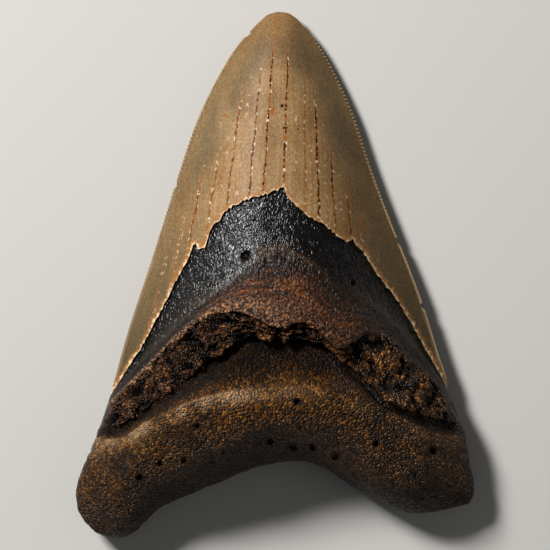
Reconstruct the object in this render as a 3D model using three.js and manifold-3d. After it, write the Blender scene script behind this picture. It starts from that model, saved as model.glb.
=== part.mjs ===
// A fossil megalodon tooth, in millimetres. It lies on its flat labial (lip side) face with the
// bulging lingual (tongue side) face up: tip towards +Y, root lobes towards -Y, left edge at -X.
// The origin is under the middle of its box, on the surface that it lies on.
import * as THREE from "three";
import { mergeVertices } from "three/addons/utils/BufferGeometryUtils.js";
import Module from "manifold-3d";

const { clamp, lerp, smoothstep } = THREE.MathUtils;

// Driving dimensions
const ENAMEL_THICKNESS = 0.8;
const SERRATION_PITCH = 0.95;
const SERRATION_DEPTH = 0.42;
const SMOOTH_TIP = 7;
const ROOT_EDGE_RADIUS = 15;
const LOBE_DROP = 11;
const LOBE_REACH = 40;
const CREVICE_DEPTH = 5.6;
const LUMP_HEIGHT = 0.8;
const LABIAL_HOLLOW = 1.6;
const COLUMN_GAP = 0.031;
const ROOT_FLANK_STEP = 2.8;

// Outline seen from above: x of each side against y, from the tip to the end of its root lobe
const LEFT_SIDE = [
  [63.1, 0.4], [62.5, -1.6], [61.3, -3.2], [58.4, -6.1], [55.1, -9], [49.6, -12.6], [38, -18.4],
  [23.6, -23.4], [3.7, -29.6], [-14, -35.4], [-29.2, -39.7], [-38.3, -42.8], [-46.4, -46.2],
  [-52.7, -47.9], [-57.7, -47], [-62, -43.2],
];
const RIGHT_SIDE = [
  [63.1, 0.4], [62.9, 2.3], [62.2, 4], [59.4, 6.8], [55.3, 10], [49.6, 13.3], [38, 18.6], [26.5, 22.4],
  [12.1, 27.7], [0.6, 32.3], [-8.5, 35.6], [-19.6, 39], [-25.3, 40.9], [-28.2, 41.3], [-33.7, 43.7],
  [-38.3, 45.4], [-44.8, 46.5], [-50.5, 47.6], [-53.4, 47.3], [-55, 46.2],
];

// Landmark rows across the lingual face, from the crown down to the root: y against x
const ENAMEL_MARGIN = [
  [-39.7, -29.2], [-32.5, -18.1], [-27.2, -8.3], [-21.2, 3], [-19.2, 7.6], [-18.7, 6.1], [-16.9, 5.9],
  [-16, 9.7], [-13.8, 12.8], [-12.8, 14], [-8.5, 17.2], [-1.3, 19.3], [1.8, 21.1], [3, 18.4], [6.4, 15],
  [11.9, 11.6], [16.9, 7.6], [18.4, 8.3], [23.9, 0.6], [29.9, -7.3], [34.7, -15.7], [41.2, -27.7],
];
const DENTINE_MARGIN = [
  [-39.8, -30.1], [-30.4, -19.3], [-20.5, -9.5], [-9.7, -0.6], [-0.8, 5.6], [1.8, 6.3], [4.9, 5.2],
  [13.1, -1.1], [21.7, -6.4], [28.4, -12.1], [35.6, -20.5], [41.2, -28.8],
];
const TORN_LIP = [
  [-40.2, -31.3], [-31.3, -23.2], [-22.9, -14.5], [-16.2, -10], [-12.4, -9.1], [-7.1, -9.5], [-0.1, -12.6],
  [5.9, -11.4], [8.5, -12], [11.5, -15.5], [14.4, -17.6], [18.8, -15.4], [22.7, -13.8], [32.3, -21.7],
  [41, -30.1],
];
const CREVICE = [
  [-42.1, -36.8], [-39.2, -38], [-32, -34], [-22.9, -27.5], [-14.8, -21], [-7.1, -16.2], [-3, -15.2],
  [4.9, -16.2], [14, -18.6], [18.8, -23.9], [25.3, -31.1], [35.9, -36.1], [40.7, -37.4], [44.5, -36.6],
];
const SHELF = [
  [-42.8, -38.8], [-38.5, -39.5], [-30.1, -34.9], [-23.4, -31.6], [-15, -28.8], [0.8, -26.8], [18.1, -27.9],
  [26.3, -32.5], [35.9, -37.3], [40.4, -39.2], [45.1, -38.8],
];
const BASE = [
  [-43.2, -62], [-39.5, -63.5], [-35.9, -63], [-32.9, -61.3], [-30.6, -58.8], [-28.3, -56.4], [-21.7, -53.2],
  [-14.1, -50.1], [-4.5, -46.3], [5.9, -44.8], [12.3, -46.8], [21.9, -53], [29.4, -56.6], [37, -57.2],
  [46.2, -55],
];

// The enamel's lower margin on the labial face, which is further down than on the lingual face
const LABIAL_MARGIN = [[-39.7, -29.2], [-22, -21.5], [0, -18.4], [22, -21], [41.2, -27.7]];

// Heights against y: the crest of the lingual bulge, and the edge where the two faces meet
const CREST_HEIGHT = [
  [-64, 25], [-50, 27], [-36, 28], [-27, 28], [-12, 25], [6.5, 20.8], [21, 17.8], [38, 13.8], [50, 10.2],
  [58, 6.9], [61.5, 4.6], [63.1, 3],
];
const EDGE_HEIGHT = [[-64, 6.5], [-40, 7.5], [-28, 6.2], [0, 4.6], [40, 3.4], [63.1, 3]];

// The sharp-edged crown turns into the round-edged root between these two y
const CROWN_END = -20;
const ROOT_START = -36;

// Relief of the lingual face against row number: groove, roll and torn lip, torn face, crevice, neck, shelf
const TORN_RELIEF = [
  [2, 0], [2.2, -0.4], [2.6, 0.5], [2.85, 0.6], [3, 0.3], [3.1, -1.1], [3.5, -1.8], [3.84, -2.1],
  [3.94, -4.6], [4, -CREVICE_DEPTH], [4.14, -5], [4.5, -2.5], [5, 0],
];

// How far the crevice reaches in under the torn face, against row number
const UNDERCUT = [[3.84, 0], [3.94, 1.1], [4, 0.7], [4.14, 0]];

// Row numbers of the mesh, whole on a landmark: crown rows crowd towards the tip
const CROWN_ROWS = Array.from({ length: 21 }, (_, i) => ((i + 1) / 22) ** 1.7);
const LINGUAL_ROW_NUMBERS = [
  ...CROWN_ROWS, 1, 1.03, 1.2, 1.45, 1.7, 1.9, 2.05, 2.2, 2.4, 2.6, 2.85, 3, 3.1, 3.25, 3.4, 3.55, 3.7,
  3.84, 3.94, 4, 4.14, 4.3, 4.5, 4.7, 4.85, 5, 5.12, 5.28, 5.45, 5.6, 5.74, 5.86, 5.95,
];
const LABIAL_ROW_NUMBERS = [
  0.01, 0.03, 0.07, 0.13, 0.2, 0.3, 0.4, 0.5, 0.6, 0.7, 0.8, 0.9, 0.96, 1, 1.05, 1.12, 1.22, 1.35, 1.5, 1.65,
  1.78, 1.88, 1.95,
];

// Chips out of the cutting edges and nutrient pits in the lingual face: x, y and radius
const CHIPS = [
  [-6.9, 57.8, 0.9], [-24.4, 21.5, 0.9], [29.6, 8, 0.95], [35.7, -7.6, 1], [41.9, -26.6, 0.9],
];
const PITS = [
  [5.2, -30.4, 1.05], [-18.4, -36.1, 0.7], [-27.5, -45, 0.8], [-32.3, -48.4, 0.85], [-21.7, -44.3, 0.7],
  [-1.3, -39.7, 0.7], [4, -41, 0.85], [8.8, -41.2, 0.75], [14.3, -43.4, 0.95], [23.9, -40.4, 0.75],
  [37.6, -42.2, 0.8], [-7.1, 4.4, 1], [18.4, -2.3, 0.7],
];

// A curve through [place, value] pairs: smooth, or straight from point to point
function curveThrough(points, straight = false) {
  const sorted = [...points].sort((a, b) => a[0] - b[0]);
  const Interpolant = straight ? THREE.LinearInterpolant : THREE.CubicInterpolant;
  const places = sorted.map((point) => point[0]);
  const values = sorted.map((point) => point[1]);
  const interpolant = new Interpolant(places, values, 1);
  return (place) => interpolant.evaluate(place)[0];
}

const leftX = curveThrough(LEFT_SIDE);
const rightX = curveThrough(RIGHT_SIDE);
const crestHeight = curveThrough(CREST_HEIGHT);
const edgeHeight = curveThrough(EDGE_HEIGHT);
const tornRelief = curveThrough(TORN_RELIEF, true);
const undercut = curveThrough(UNDERCUT, true);

// A landmark row: y of its ends on the two sides, and y at a share of the way across
function landmark(points, straight = false) {
  const first = points[0];
  const last = points[points.length - 1];
  const yAt = curveThrough(points, straight);
  return { left: first[1], right: last[1], y: (share) => yAt(lerp(first[0], last[0], share)) };
}

const tipY = LEFT_SIDE[0][0];
const tipRow = { left: tipY, right: tipY, y: () => tipY };
const baseRow = landmark(BASE);
const labialMargin = landmark(LABIAL_MARGIN);
const LABIAL_ROWS = [tipRow, labialMargin, baseRow];
const LINGUAL_ROWS = [
  tipRow, landmark(ENAMEL_MARGIN, true), landmark(DENTINE_MARGIN), landmark(TORN_LIP), landmark(CREVICE),
  landmark(SHELF), baseRow,
];

// Plan position at a row number and a share of the way across, with the y of the row's two ends
function planPoint(rows, rowNumber, share) {
  const above = Math.min(Math.floor(rowNumber), rows.length - 2);
  const part = rowNumber - above;
  const left = lerp(rows[above].left, rows[above + 1].left, part);
  const right = lerp(rows[above].right, rows[above + 1].right, part);
  const x = lerp(leftX(left), rightX(right), share);
  const y = lerp(rows[above].y(share), rows[above + 1].y(share), part);
  return { x, y, left, right };
}

// The closed outline, for distances from the edge
function outlineAround() {
  const around = [];
  for (let part = 0; part < 1; part += 0.012) {
    const y = lerp(tipY, baseRow.left, part ** 1.6);
    around.push(new THREE.Vector2(leftX(y), y));
  }
  for (let part = 0; part < 1; part += 0.015) {
    around.push(new THREE.Vector2(lerp(BASE[0][0], BASE[BASE.length - 1][0], part), baseRow.y(part)));
  }
  for (let part = 1; part > 0; part -= 0.012) {
    const y = lerp(tipY, baseRow.right, part ** 1.6);
    around.push(new THREE.Vector2(rightX(y), y));
  }
  return around;
}

const outline = outlineAround();

function distanceFromEdge(x, y) {
  let least = Infinity;
  outline.forEach((start, i) => {
    const end = outline[(i + 1) % outline.length];
    const alongX = end.x - start.x;
    const alongY = end.y - start.y;
    const part = ((x - start.x) * alongX + (y - start.y) * alongY) / (alongX ** 2 + alongY ** 2);
    const near = clamp(part, 0, 1);
    least = Math.min(least, Math.hypot(x - start.x - near * alongX, y - start.y - near * alongY));
  });
  return least;
}

// Most of the half width at a y, measured square to the sloping sides
function halfWidth(y) {
  const width = rightX(y) - leftX(y);
  const slope = rightX(y - 0.5) - leftX(y - 0.5) - width;
  return (0.46 * width) / Math.hypot(1, slope);
}

// How much of the root's form there is at a point, and its rise from 0 at the edge to 1 well inside
function sectionAt(x, y) {
  const root = smoothstep(-y, -CROWN_END, -ROOT_START);
  const reach = lerp(halfWidth(Math.max(y, ROOT_START)), ROOT_EDGE_RADIUS, root);
  const inward = clamp(distanceFromEdge(x, y) / Math.max(reach, 0.1), 0, 1);
  return { root, rise: 1 - (1 - inward) ** 2 };
}

function lingualHeight(x, y) {
  const { root, rise } = sectionAt(x, y);
  const edge = edgeHeight(y);
  const lobes = LOBE_DROP * smoothstep(-y, 0, -ROOT_START) * (x / LOBE_REACH) ** 2;
  const crest = Math.max(crestHeight(y) - lobes * root, edge);
  return edge + (crest - edge) * rise ** lerp(1.2, 0.55, root);
}

// Curls up to the edge from exactly flat patches; the root is hollow between its lobes and the enamel
function labialHeight(x, y) {
  const { root, rise } = sectionAt(x, y);
  const curl = Math.max(0, 1 - 1.35 * rise ** lerp(1, 0.7, root)) ** 1.5;
  const bared = labialMargin.y((x - leftX(y)) / (rightX(y) - leftX(y))) - y;
  const ledge = 0.6 * ENAMEL_THICKNESS * smoothstep(bared, 0, 1) * (1 - smoothstep(bared, 5, 16));
  const bowl = smoothstep(1 - Math.hypot(x / 25, (y + 35) / 14), 0, 1);
  const hollow = LABIAL_HOLLOW * bowl * smoothstep(bared, 0, 8);
  return edgeHeight(y) * curl + (ledge + hollow) * rise;
}

// Lumps of the torn face below the lip
function tornLumps(x, y) {
  const broad = Math.sin(x * 1.15 + y * 0.4) * Math.cos(y * 1.3 - x * 0.35);
  return LUMP_HEIGHT * (broad + 0.6 * Math.sin(x * 2.3 - y * 1.7));
}

// A point of the mesh, with the y at which its row ends on each side
function corner(x, y, z, left = y, right = y) {
  return { point: new THREE.Vector3(x, y, z), left, right };
}

function lingualPoint(rowNumber, share) {
  const { x, y, left, right } = planPoint(LINGUAL_ROWS, rowNumber, share);
  const inside = smoothstep(distanceFromEdge(x, y), 0, 4);
  const middle = 1 - 0.55 * smoothstep(Math.abs(share - 0.5), 0.16, 0.34);
  const bare = smoothstep(rowNumber, 1, 1.03) * (1 - smoothstep(rowNumber, 1.5, 2.6));
  const torn = smoothstep(rowNumber, 3.05, 3.3) * (1 - smoothstep(rowNumber, 3.8, 3.95));
  const relief = tornRelief(rowNumber) * middle + tornLumps(x, y) * torn - ENAMEL_THICKNESS * bare;
  const z = lingualHeight(x, y) + relief * inside;
  return corner(x, y + undercut(rowNumber) * inside, z, left, right);
}

function labialPoint(rowNumber, share) {
  const { x, y, left, right } = planPoint(LABIAL_ROWS, rowNumber, share);
  return corner(x, y, labialHeight(x, y), left, right);
}

// One side's edge from below the tip to its lobe: serrations down the crown, then the plain root flank
function edgeCorners(sideX, outward, crownEnd, lobeEnd) {
  const corners = [];
  let y = tipY;
  let gone = 0;
  let crest = 0;
  while (y > lobeEnd + 1) {
    const onCrown = y > crownEnd;
    const grown = onCrown ? smoothstep(gone, SMOOTH_TIP, 2 * SMOOTH_TIP) : 0;
    const serration = SERRATION_DEPTH * (crest - 0.5) * grown;
    if (gone > 0) corners.push(corner(sideX(y) + outward * serration, y, edgeHeight(y)));
    const step = onCrown ? SERRATION_PITCH / 2 : ROOT_FLANK_STEP;
    const slope = (sideX(y - 0.05) - sideX(y)) / 0.05;
    y -= step / Math.hypot(1, slope);
    gone += step;
    crest = 1 - crest;
  }
  return corners;
}

const vertices = [];
const triangles = [];

// Puts a corner into the mesh and gives it its number there
function place(loose) {
  vertices.push(loose.point.x, loose.point.y, loose.point.z);
  return { ...loose, number: vertices.length / 3 - 1 };
}

function addTriangle(a, b, c, facesUp) {
  if (a.number === b.number || b.number === c.number || c.number === a.number) return;
  triangles.push(a.number, facesUp ? b.number : c.number, facesUp ? c.number : b.number);
}

// Joins two columns that run from the tip to the base, matching them by where their rows end on one side
function joinColumns(left, right, side, facesUp) {
  let i = 0;
  let j = 0;
  while (i < left.length - 1 || j < right.length - 1) {
    const nextLeft = left[i + 1]?.[side] ?? -Infinity;
    const nextRight = right[j + 1]?.[side] ?? -Infinity;
    let stepLeft = nextLeft > nextRight;
    if (nextLeft === nextRight) {
      const fromLeft = left[i + 1].point.distanceTo(right[j].point);
      stepLeft = fromLeft < right[j + 1].point.distanceTo(left[i].point);
    }
    addTriangle(left[i], stepLeft ? left[i + 1] : right[j + 1], right[j], facesUp);
    if (stepLeft) i += 1;
    else j += 1;
  }
}

// Shares across for the columns: each corner of the enamel margin, and more where those are far apart
function columnShares() {
  const first = ENAMEL_MARGIN[0][0];
  const width = ENAMEL_MARGIN[ENAMEL_MARGIN.length - 1][0] - first;
  const corners = ENAMEL_MARGIN.map((corner) => (corner[0] - first) / width);
  const shares = [0.012];
  for (let i = 1; i < corners.length; i += 1) {
    const gaps = Math.ceil((corners[i] - corners[i - 1]) / COLUMN_GAP);
    for (let k = 1; k <= gaps; k += 1) shares.push(lerp(corners[i - 1], corners[i], k / gaps));
  }
  shares[shares.length - 1] = 0.988;
  return shares;
}

// The tip and the edges belong to both faces, and so does the foot of each column on the basal edge
function buildShell() {
  const tip = place(corner(LEFT_SIDE[0][1], tipY, edgeHeight(tipY)));
  const edgeColumn = (side, sideX, outward, crownEnd, lobeEnd) => [
    tip,
    ...edgeCorners(sideX, outward, crownEnd, lobeEnd).map(place),
    place(corner(side[side.length - 1][1], lobeEnd, edgeHeight(lobeEnd))),
  ];
  const crown = LINGUAL_ROWS[1];
  const leftEdge = edgeColumn(LEFT_SIDE, leftX, -1, crown.left, baseRow.left);
  const rightEdge = edgeColumn(RIGHT_SIDE, rightX, 1, crown.right, baseRow.right);
  const lingual = [leftEdge];
  const labial = [leftEdge];
  columnShares().forEach((share) => {
    const { x, y, left, right } = planPoint(LABIAL_ROWS, 2, share);
    const foot = place(corner(x, y, edgeHeight(y), left, right));
    lingual.push([tip, ...LINGUAL_ROW_NUMBERS.map((row) => place(lingualPoint(row, share))), foot]);
    labial.push([tip, ...LABIAL_ROW_NUMBERS.map((row) => place(labialPoint(row, share))), foot]);
  });
  lingual.push(rightEdge);
  labial.push(rightEdge);
  for (let i = 1; i < lingual.length; i += 1) {
    const side = i === 1 ? "left" : "right";
    joinColumns(lingual[i - 1], lingual[i], side, true);
    joinColumns(labial[i - 1], labial[i], side, false);
  }
}

buildShell();

const wasm = await Module();
wasm.setup();

function solidFrom(positions, index) {
  const vertProperties = new Float32Array(positions);
  const triVerts = new Uint32Array(index);
  return new wasm.Manifold(new wasm.Mesh({ numProp: 3, vertProperties, triVerts }));
}

// A faceted ball that takes a bite out of the surface
function ballAt(x, y, z, radius) {
  const loose = new THREE.IcosahedronGeometry(radius, 1).translate(x, y, z);
  loose.deleteAttribute("normal");
  loose.deleteAttribute("uv");
  const ball = mergeVertices(loose, 1e-3);
  return solidFrom(ball.getAttribute("position").array, ball.getIndex().array);
}

let solid = solidFrom(vertices, triangles);
PITS.forEach(([x, y, radius]) => {
  const bared = y > CROWN_END ? ENAMEL_THICKNESS : 0;
  solid = solid.subtract(ballAt(x, y, lingualHeight(x, y) - bared, radius));
});
CHIPS.forEach(([x, y, radius]) => {
  solid = solid.subtract(ballAt(x, y, edgeHeight(y), radius));
});

const cut = solid.getMesh();
const geometry = new THREE.BufferGeometry();
geometry.setAttribute("position", new THREE.BufferAttribute(cut.vertProperties, cut.numProp));
geometry.setIndex(new THREE.BufferAttribute(cut.triVerts, 1));
geometry.computeBoundingBox();
const middle = geometry.boundingBox.getCenter(new THREE.Vector3());
geometry.translate(-middle.x, -middle.y, -geometry.boundingBox.min.z);
geometry.computeVertexNormals();

const fossil = new THREE.MeshStandardMaterial({ color: 0x8a7457, roughness: 0.5, metalness: 0 });
const tooth = new THREE.Mesh(geometry, fossil);
tooth.name = "tooth";

const group = new THREE.Group();
group.name = "megalodon_tooth";
group.add(tooth);

export default group;
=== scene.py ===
import math

import bpy
import numpy as np
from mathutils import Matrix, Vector


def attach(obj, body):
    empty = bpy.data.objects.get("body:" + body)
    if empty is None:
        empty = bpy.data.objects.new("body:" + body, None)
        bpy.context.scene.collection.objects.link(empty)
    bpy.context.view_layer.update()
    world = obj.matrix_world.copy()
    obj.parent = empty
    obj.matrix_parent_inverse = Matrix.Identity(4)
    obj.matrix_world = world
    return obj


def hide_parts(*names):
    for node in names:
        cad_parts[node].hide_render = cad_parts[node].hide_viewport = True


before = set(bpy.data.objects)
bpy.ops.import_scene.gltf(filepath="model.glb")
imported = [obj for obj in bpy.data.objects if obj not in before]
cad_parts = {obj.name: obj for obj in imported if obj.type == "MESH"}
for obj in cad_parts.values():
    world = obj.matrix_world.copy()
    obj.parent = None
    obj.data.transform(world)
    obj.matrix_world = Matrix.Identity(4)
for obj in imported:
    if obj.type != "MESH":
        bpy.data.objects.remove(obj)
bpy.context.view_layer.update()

# The grown form. A shark's tooth grows as one piece: an enamel crown, a band of dentine below it and
# a porous root. It is lofted here in millimetres from landmark rows that run across the lingual
# (tongue side) face, and lies on the labial (lip side) face with its tip towards +Y.
LEFT_SIDE = [
    (63.1, 0.4), (62.5, -1.6), (61.3, -3.2), (58.4, -6.1), (55.1, -9), (49.6, -12.6), (38, -18.4),
    (23.6, -23.4), (3.7, -29.6), (-14, -35.4), (-29.2, -39.7), (-38.3, -42.8), (-46.4, -46.2),
    (-52.7, -47.9), (-57.7, -47), (-62, -43.2),
]
RIGHT_SIDE = [
    (63.1, 0.4), (62.9, 2.3), (62.2, 4), (59.4, 6.8), (55.3, 10), (49.6, 13.3), (38, 18.6), (26.5, 22.4),
    (12.1, 27.7), (0.6, 32.3), (-8.5, 35.6), (-19.6, 39), (-25.3, 40.9), (-28.2, 41.3), (-33.7, 43.7),
    (-38.3, 45.4), (-44.8, 46.5), (-50.5, 47.6), (-53.4, 47.3), (-55, 46.2),
]
ENAMEL_MARGIN = [
    (-39.7, -29.2), (-35.9, -23.2), (-32.5, -18.1), (-29.6, -12.8), (-27.2, -8.3), (-24.1, -2),
    (-21.2, 3), (-19.8, 6.8), (-19.2, 7.6), (-18.7, 6.1), (-16.9, 5.9), (-16.4, 7.8), (-16, 9.7),
    (-15, 11.6), (-13.8, 12.8), (-13.2, 12.6), (-12.8, 14), (-11.4, 15.5), (-8.5, 17.2), (-4.9, 18.4),
    (-1.3, 19.3), (0.8, 20.2), (1.8, 21.1), (2.3, 19.8), (3, 18.4), (4.2, 16.9), (6.4, 15), (9, 13.1),
    (11.9, 11.6), (14.3, 9.5), (16, 8), (16.9, 7.6), (18.4, 8.3), (19.3, 7.1), (21.2, 4.9), (23.9, 0.6),
    (27.5, -4.2), (29.9, -7.3), (32.3, -11.4), (34.7, -15.7), (37.6, -20.8), (39.5, -24.1), (41.2, -27.7),
]
DENTINE_MARGIN = [
    (-39.8, -30.1), (-30.4, -19.3), (-20.5, -9.5), (-9.7, -0.6), (-0.8, 5.6), (1.8, 6.3), (4.9, 5.2),
    (13.1, -1.1), (21.7, -6.4), (28.4, -12.1), (35.6, -20.5), (41.2, -28.8),
]
TORN_LIP = [
    (-40.2, -31.3), (-31.3, -23.2), (-22.9, -14.5), (-16.2, -10), (-12.4, -9.1), (-7.1, -9.5),
    (-0.1, -12.6), (5.9, -11.4), (8.5, -12), (11.5, -15.5), (14.4, -17.6), (18.8, -15.4), (22.7, -13.8),
    (32.3, -21.7), (41, -30.1),
]
CREVICE = [
    (-42.1, -36.8), (-39.2, -38), (-32, -34), (-22.9, -27.5), (-14.8, -21), (-7.1, -16.2), (-3, -15.2),
    (4.9, -16.2), (14, -18.6), (18.8, -23.9), (25.3, -31.1), (35.9, -36.1), (40.7, -37.4), (44.5, -36.6),
]
SHELF = [
    (-42.8, -38.8), (-38.5, -39.5), (-30.1, -34.9), (-23.4, -31.6), (-15, -28.8), (0.8, -26.8),
    (18.1, -27.9), (26.3, -32.5), (35.9, -37.3), (40.4, -39.2), (45.1, -38.8),
]
BASE = [
    (-43.2, -62), (-39.5, -63.5), (-35.9, -63), (-32.9, -61.3), (-30.6, -58.8), (-28.3, -56.4),
    (-21.7, -53.2), (-14.1, -50.1), (-4.5, -46.3), (5.9, -44.8), (12.3, -46.8), (21.9, -53),
    (29.4, -56.6), (37, -57.2), (46.2, -55),
]
LABIAL_MARGIN = [(-39.7, -29.2), (-22, -21.5), (0, -18.4), (22, -21), (41.2, -27.7)]
CREST_HEIGHT = [
    (-64, 25), (-50, 27), (-36, 28), (-27, 28), (-12, 25), (6.5, 20.8), (21, 17.8), (38, 13.8),
    (50, 10.2), (58, 6.9), (61.5, 4.6), (63.1, 3),
]
EDGE_HEIGHT = [(-64, 6.5), (-40, 7.5), (-28, 6.2), (0, 4.6), (40, 3.4), (63.1, 3)]
TORN_RELIEF = [
    (2, 0), (2.2, -0.4), (2.6, 0.5), (2.85, 0.6), (3, 0.3), (3.1, -1.1), (3.5, -1.8), (3.84, -2.1),
    (3.94, -4.6), (4, -5.6), (4.14, -5), (4.5, -2.5), (5, 0),
]
UNDERCUT = [(3.84, 0), (3.94, 1.1), (4, 0.7), (4.14, 0)]
CHIPS = [(-6.9, 57.8, 0.9), (-24.4, 21.5, 0.9), (29.6, 8, 0.95), (35.7, -7.6, 1), (41.9, -26.6, 0.9)]
PITS = [
    (5.2, -30.4, 1.05), (-18.4, -36.1, 0.7), (-27.5, -45, 0.8), (-32.3, -48.4, 0.85), (-21.7, -44.3, 0.7),
    (-1.3, -39.7, 0.7), (4, -41, 0.85), (8.8, -41.2, 0.75), (14.3, -43.4, 0.95), (23.9, -40.4, 0.75),
    (37.6, -42.2, 0.8), (-7.1, 4.4, 1), (18.4, -2.3, 0.7),
]
ENAMEL_THICKNESS = 0.8
FACE_REACH, ROOT_EDGE_RADIUS = 0.46, 15
CROWN_POWER, POWER_DROP = 1.2, 0.65
LOBE_DROP, LOBE_REACH = 11, 40
CROWN_END, ROOT_START = -20, -36
LABIAL_HOLLOW, HOLLOW_Y, HOLLOW_HALF_WIDTH, HOLLOW_HALF_LENGTH = 1.6, -35, 25, 14
LABIAL_LEDGE = 0.48
FLANK_CALM = 0.55
PIT_DEPTH = 1.2
MILLIMETRE = 0.001


def curve_through(points, straight=False):
    """A curve through (place, value) pairs: smooth, or straight from point to point."""
    place, value = np.array(sorted(points), float).T
    if straight:
        return lambda at: np.interp(at, place, value)
    secant = np.diff(value) / np.diff(place)
    slope = np.concatenate([secant[:1], (secant[:-1] + secant[1:]) / 2, secant[-1:]])

    def smooth(at):
        at = np.clip(at, place[0], place[-1])
        i = np.clip(np.searchsorted(place, at, side="right") - 1, 0, len(place) - 2)
        gap = place[i + 1] - place[i]
        p = (at - place[i]) / gap
        start = (value[i] * (1 + 2 * p) + gap * slope[i] * p) * (1 - p) ** 2
        return start + (value[i + 1] * (3 - 2 * p) + gap * slope[i + 1] * (p - 1)) * p**2

    return smooth


def ease(value, low, high):
    """0 at low and below, 1 at high and above, with soft ends."""
    t = np.clip((value - low) / (high - low), 0, 1)
    return t * t * (3 - 2 * t)


left_x = curve_through(LEFT_SIDE)
right_x = curve_through(RIGHT_SIDE)
crest_height = curve_through(CREST_HEIGHT)
edge_height = curve_through(EDGE_HEIGHT)
torn_relief = curve_through(TORN_RELIEF, straight=True)
undercut = curve_through(UNDERCUT, straight=True)
tip_x, tip_y = LEFT_SIDE[0][1], LEFT_SIDE[0][0]


def landmark(points, straight=False):
    """A row: y of its ends on the two sides, and y at a share of the way across."""
    y = curve_through(points, straight)
    first, last = points[0], points[-1]
    return first[1], last[1], lambda share: y(first[0] + (last[0] - first[0]) * share)


tip_row = (tip_y, tip_y, lambda share: tip_y + 0 * share)
base_row = landmark(BASE)
labial_margin = landmark(LABIAL_MARGIN)
broken_left, broken_right, broken_y = landmark(ENAMEL_MARGIN, straight=True)
JAG_HEIGHT, JAG_PERIOD = 0.32, 1.5


def jagged_y(share):
    """The enamel margin with small splintered teeth, none at its ends."""
    along = (ENAMEL_MARGIN[-1][0] - ENAMEL_MARGIN[0][0]) * share / JAG_PERIOD
    teeth = np.abs((along + 0.35 * np.sin(2.3 * along)) % 1 - 0.5) * 4 - 1
    return broken_y(share) + JAG_HEIGHT * teeth * ease(0.5 - np.abs(share - 0.5), 0.02, 0.08)


enamel_margin = (broken_left, broken_right, jagged_y)
LINGUAL_ROWS = [
    tip_row, enamel_margin, landmark(DENTINE_MARGIN), landmark(TORN_LIP), landmark(CREVICE),
    landmark(SHELF), base_row,
]
LABIAL_ROWS = [tip_row, labial_margin, base_row]


def row_ends(rows, numbers):
    """y at which rows of these numbers meet the left and the right side."""
    whole = np.arange(len(rows))
    return np.interp(numbers, whole, [r[0] for r in rows]), np.interp(numbers, whole, [r[1] for r in rows])


def row_number_at(rows, side, y):
    """Row numbers whose end on side 0, left, or 1, right, is at y."""
    return np.interp(-y, [-r[side] for r in rows], np.arange(len(rows)))


def plan(rows, numbers, shares):
    """x and y of each row number, down, at each share of the way across."""
    left, right = row_ends(rows, numbers)
    x = left_x(left)[:, None] * (1 - shares) + right_x(right)[:, None] * shares
    above = np.minimum(numbers.astype(int), len(rows) - 2)
    part = (numbers - above)[:, None]
    y_of_row = np.array([r[2](shares) for r in rows])
    return x, y_of_row[above] * (1 - part) + y_of_row[above + 1] * part


def side_run(side_x, crown_end, lobe_end, crown_step, root_step):
    """Points down one side, evenly spaced: y, and the run in mm from the tip."""
    y = tip_y + (lobe_end - tip_y) * np.linspace(0, 1, 6000) ** 2
    run = np.concatenate([[0], np.cumsum(np.hypot(np.diff(side_x(y)), np.diff(y)))])
    crown_run = np.interp(-crown_end, -y, run)
    crown = np.linspace(0, crown_run, int(crown_run / crown_step))
    root = np.linspace(crown_run, run[-1], int((run[-1] - crown_run) / root_step))
    at = np.concatenate([crown, root[1:]])
    return np.interp(at, run, y), at


EDGE_STEP, FLANK_STEP = 0.19, 0.6
left_y, left_run = side_run(left_x, enamel_margin[0], base_row[0], EDGE_STEP, FLANK_STEP)
right_y, right_run = side_run(right_x, enamel_margin[1], base_row[1], EDGE_STEP, FLANK_STEP)
base_share = np.linspace(0, 1, 140)
base_x = BASE[0][0] + (BASE[-1][0] - BASE[0][0]) * base_share
outline = np.concatenate([
    np.stack([left_x(left_y[::4]), left_y[::4]], 1),
    np.stack([base_x, base_row[2](base_share)], 1),
    np.stack([right_x(right_y[::-4]), right_y[::-4]], 1),
])


def distance_to(line, x, y):
    """Distance in mm from each point to a line of points."""
    along = np.diff(line, axis=0)
    length = np.maximum((along**2).sum(1), 1e-9)
    least = np.empty(len(x))
    for first in range(0, len(x), 4000):
        some = slice(first, first + 4000)
        off = np.stack([x[some], y[some]], 1)[:, None] - line[:-1]
        near = np.clip((off * along).sum(2) / length, 0, 1)
        least[some] = np.sqrt(((off - near[..., None] * along) ** 2).sum(2)).min(1)
    return least


# Row numbers of the mesh and shares across, close together where the form turns or breaks
LINGUAL_NUMBERS = np.concatenate([
    np.linspace(0, 1, 113)[1:] ** 1.5, [1.008], np.linspace(1.03, 2, 34), np.linspace(2.03, 2.97, 38),
    [3, 3.04, 3.1], np.linspace(3.14, 3.81, 24), np.linspace(3.84, 4.16, 15), np.linspace(4.2, 5, 27),
    np.linspace(5.03, 5.97, 48),
])
LABIAL_NUMBERS = np.concatenate([np.linspace(0, 1, 70)[1:] ** 1.3, [1.02], np.linspace(1.05, 1.97, 44)])
EDGE_SHARES = np.array([0.005, 0.012, 0.02])
evenly = np.linspace(0, 1, 200)
MIDDLE_SHARES = 0.03 + 0.94 * (evenly - 0.3 * np.sin(2 * math.pi * evenly) / (2 * math.pi))
FAR = 1000.0
LABIAL_ROOT_ROW, LABIAL_ROOT_SPAN = 5.1, 0.85
bands = [
    (EDGE_SHARES, left_y[1:-1], 0, left_run[1:-1]),
    (MIDDLE_SHARES, None, None, None),
    (1 - EDGE_SHARES[::-1], right_y[1:-1], 1, right_run[1:-1]),
]

blocks = []


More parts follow.
